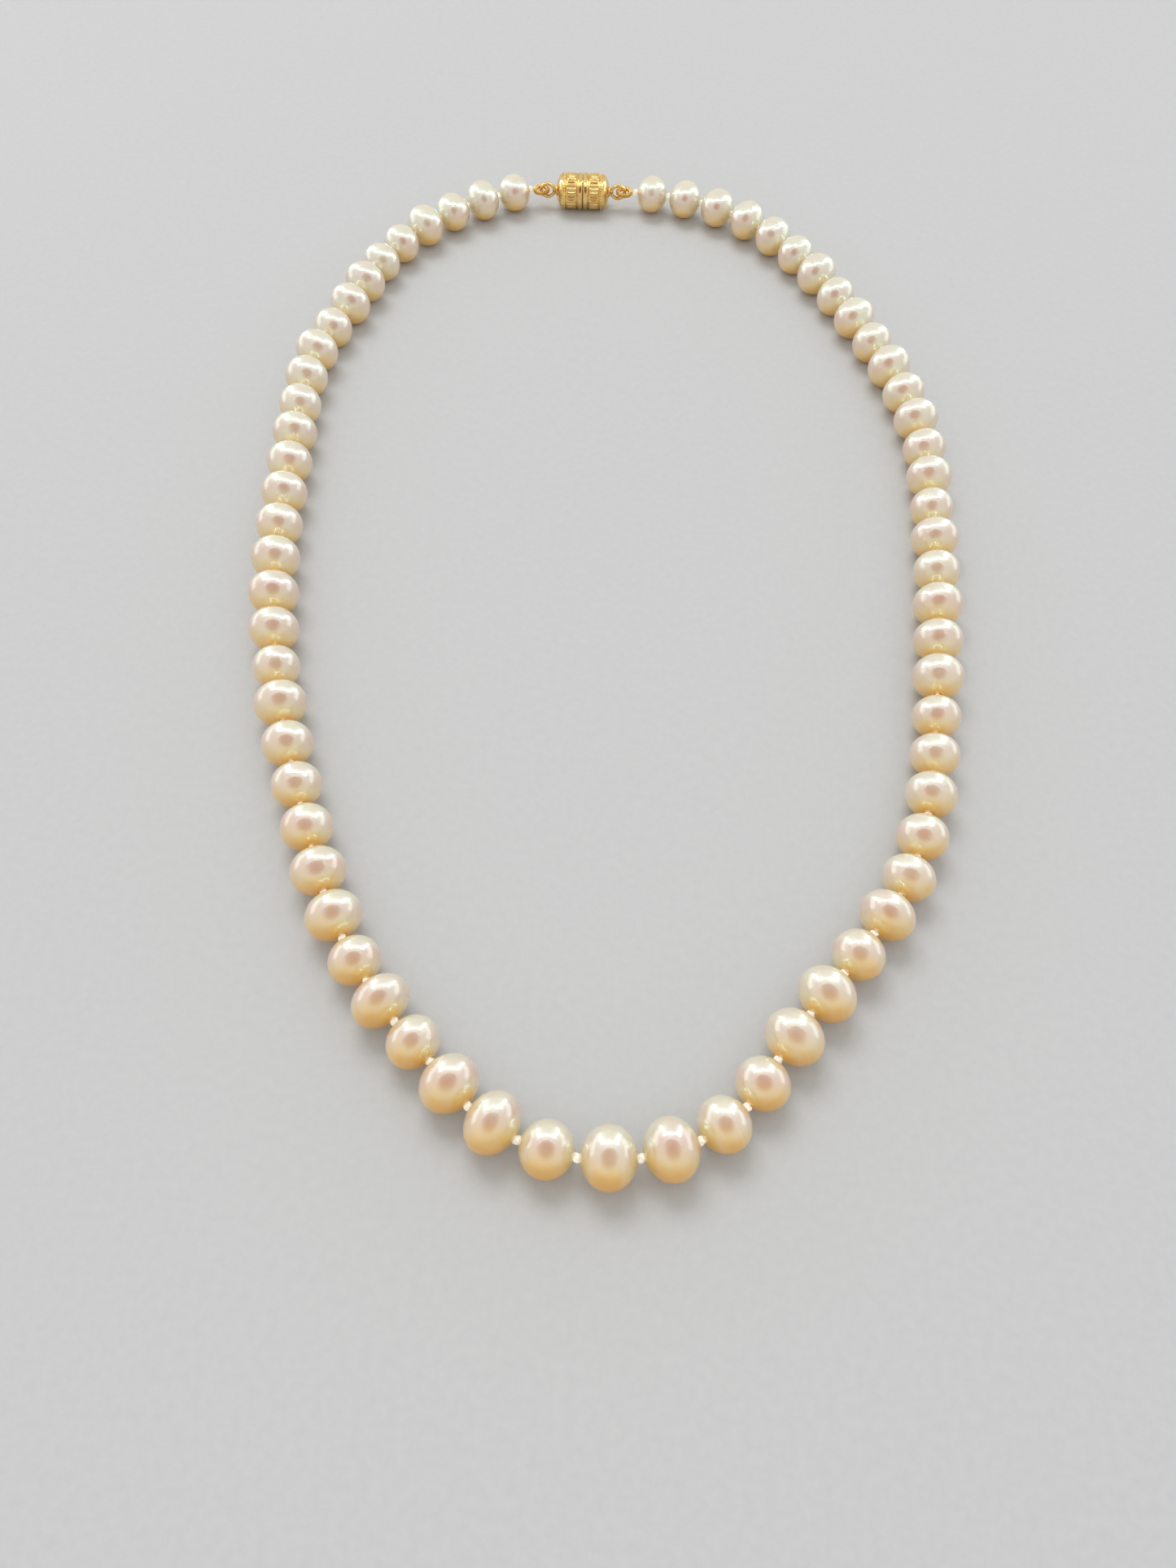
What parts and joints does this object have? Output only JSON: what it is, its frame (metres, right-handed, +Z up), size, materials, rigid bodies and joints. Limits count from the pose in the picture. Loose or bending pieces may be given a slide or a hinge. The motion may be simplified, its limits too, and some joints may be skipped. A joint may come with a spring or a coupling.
{
  "type": "pearl necklace",
  "caption": "Single strand of knotted freshwater pearls with a gold magnetic barrel clasp, laid out as a closed loop that opens at the clasp.",
  "frame": {"origin": "on the surface that the necklace lies on, at the centre of its outline", "axes": "+Z up from that surface, -Y to the front pearls, +Y to the clasp, -X to the left half of the strand"},
  "size_m": [0.1084, 0.1902, 0.0075],
  "materials": {
    "pearl": "satin gloss nacre, cream with a rose overtone",
    "silk": "twisted filament, natural white",
    "gold": "polished",
    "nickel": "plated, polished"
  },
  "bodies": {
    "front": {"pearls_front": "pearl", "silk_front": "silk"},
    "left_01": {"pearls_left_01": "pearl", "silk_left_01": "silk"},
    "left_02": {"pearls_left_02": "pearl", "silk_left_02": "silk"},
    "left_03": {"pearls_left_03": "pearl", "silk_left_03": "silk"},
    "left_04": {"pearls_left_04": "pearl", "silk_left_04": "silk"},
    "left_05": {"pearls_left_05": "pearl", "silk_left_05": "silk"},
    "left_06": {"pearls_left_06": "pearl", "silk_left_06": "silk"},
    "left_07": {"pearls_left_07": "pearl", "silk_left_07": "silk"},
    "left_08": {"pearls_left_08": "pearl", "silk_left_08": "silk"},
    "left_09": {"pearls_left_09": "pearl", "silk_left_09": "silk"},
    "left_10": {"pearls_left_10": "pearl", "silk_left_10": "silk", "clasp_barrel_left": "gold", "clasp_magnet_left": "nickel", "clasp_eyelet_left": "gold", "bullion_loop_left": "gold"},
    "right_01": {"pearls_right_01": "pearl", "silk_right_01": "silk"},
    "right_02": {"pearls_right_02": "pearl", "silk_right_02": "silk"},
    "right_03": {"pearls_right_03": "pearl", "silk_right_03": "silk"},
    "right_04": {"pearls_right_04": "pearl", "silk_right_04": "silk"},
    "right_05": {"pearls_right_05": "pearl", "silk_right_05": "silk"},
    "right_06": {"pearls_right_06": "pearl", "silk_right_06": "silk"},
    "right_07": {"pearls_right_07": "pearl", "silk_right_07": "silk"},
    "right_08": {"pearls_right_08": "pearl", "silk_right_08": "silk"},
    "right_09": {"pearls_right_09": "pearl", "silk_right_09": "silk"},
    "right_10": {"pearls_right_10": "pearl", "silk_right_10": "silk", "clasp_barrel_right": "gold", "clasp_magnet_right": "nickel", "clasp_eyelet_right": "gold", "bullion_loop_right": "gold"}
  },
  "joints": [
    {"name": "left_knot_01", "type": "hinge", "parent": "front", "child": "left_01", "pos_m": [-0.01395, -0.08616, 0.00373], "axis": [0, 0, 1], "range_deg": [0, 30]},
    {"name": "left_knot_02", "type": "hinge", "parent": "left_01", "child": "left_02", "pos_m": [-0.02719, -0.07164, 0.00355], "axis": [0, 0, 1], "range_deg": [0, 30]},
    {"name": "left_knot_03", "type": "hinge", "parent": "left_02", "child": "left_03", "pos_m": [-0.03626, -0.05405, 0.00352], "axis": [0, 0, 1], "range_deg": [0, 30]},
    {"name": "left_knot_04", "type": "hinge", "parent": "left_03", "child": "left_04", "pos_m": [-0.04303, -0.03498, 0.00359], "axis": [0, 0, 1], "range_deg": [0, 30]},
    {"name": "left_knot_05", "type": "hinge", "parent": "left_04", "child": "left_05", "pos_m": [-0.04767, -0.01549, 0.00366], "axis": [0, 0, 1], "range_deg": [0, 30]},
    {"name": "left_knot_06", "type": "hinge", "parent": "left_05", "child": "left_06", "pos_m": [-0.04988, 0.00493, 0.00359], "axis": [0, 0, 1], "range_deg": [0, 30]},
    {"name": "left_knot_07", "type": "hinge", "parent": "left_06", "child": "left_07", "pos_m": [-0.05064, 0.02508, 0.00357], "axis": [0, 0, 1], "range_deg": [0, 30]},
    {"name": "left_knot_08", "type": "hinge", "parent": "left_07", "child": "left_08", "pos_m": [-0.04929, 0.0454, 0.0035], "axis": [0, 0, 1], "range_deg": [0, 30]},
    {"name": "left_knot_09", "type": "hinge", "parent": "left_08", "child": "left_09", "pos_m": [-0.04326, 0.06442, 0.00352], "axis": [0, 0, 1], "range_deg": [0, 30]},
    {"name": "left_knot_10", "type": "hinge", "parent": "left_09", "child": "left_10", "pos_m": [-0.03299, 0.08122, 0.00351], "axis": [0, 0, 1], "range_deg": [0, 30]},
    {"name": "right_knot_01", "type": "hinge", "parent": "front", "child": "right_01", "pos_m": [0.02109, -0.0797, 0.00352], "axis": [0, 0, -1], "range_deg": [0, 30]},
    {"name": "right_knot_02", "type": "hinge", "parent": "right_01", "child": "right_02", "pos_m": [0.03375, -0.06349, 0.0035], "axis": [0, 0, -1], "range_deg": [0, 30]},
    {"name": "right_knot_03", "type": "hinge", "parent": "right_02", "child": "right_03", "pos_m": [0.04255, -0.04631, 0.00347], "axis": [0, 0, -1], "range_deg": [0, 30]},
    {"name": "right_knot_04", "type": "hinge", "parent": "right_03", "child": "right_04", "pos_m": [0.04627, -0.02719, 0.00352], "axis": [0, 0, -1], "range_deg": [0, 30]},
    {"name": "right_knot_05", "type": "hinge", "parent": "right_04", "child": "right_05", "pos_m": [0.0489, -0.00711, 0.00361], "axis": [0, 0, -1], "range_deg": [0, 30]},
    {"name": "right_knot_06", "type": "hinge", "parent": "right_05", "child": "right_06", "pos_m": [0.05045, 0.01282, 0.00349], "axis": [0, 0, -1], "range_deg": [0, 30]},
    {"name": "right_knot_07", "type": "hinge", "parent": "right_06", "child": "right_07", "pos_m": [0.04969, 0.03265, 0.00363], "axis": [0, 0, -1], "range_deg": [0, 30]},
    {"name": "right_knot_08", "type": "hinge", "parent": "right_07", "child": "right_08", "pos_m": [0.0438, 0.052, 0.00353], "axis": [0, 0, -1], "range_deg": [0, 30]},
    {"name": "right_knot_09", "type": "hinge", "parent": "right_08", "child": "right_09", "pos_m": [0.03523, 0.07051, 0.00355], "axis": [0, 0, -1], "range_deg": [0, 30]},
    {"name": "right_knot_10", "type": "hinge", "parent": "right_09", "child": "right_10", "pos_m": [0.02244, 0.08562, 0.00351], "axis": [0, 0, -1], "range_deg": [0, 30]}
  ]
}
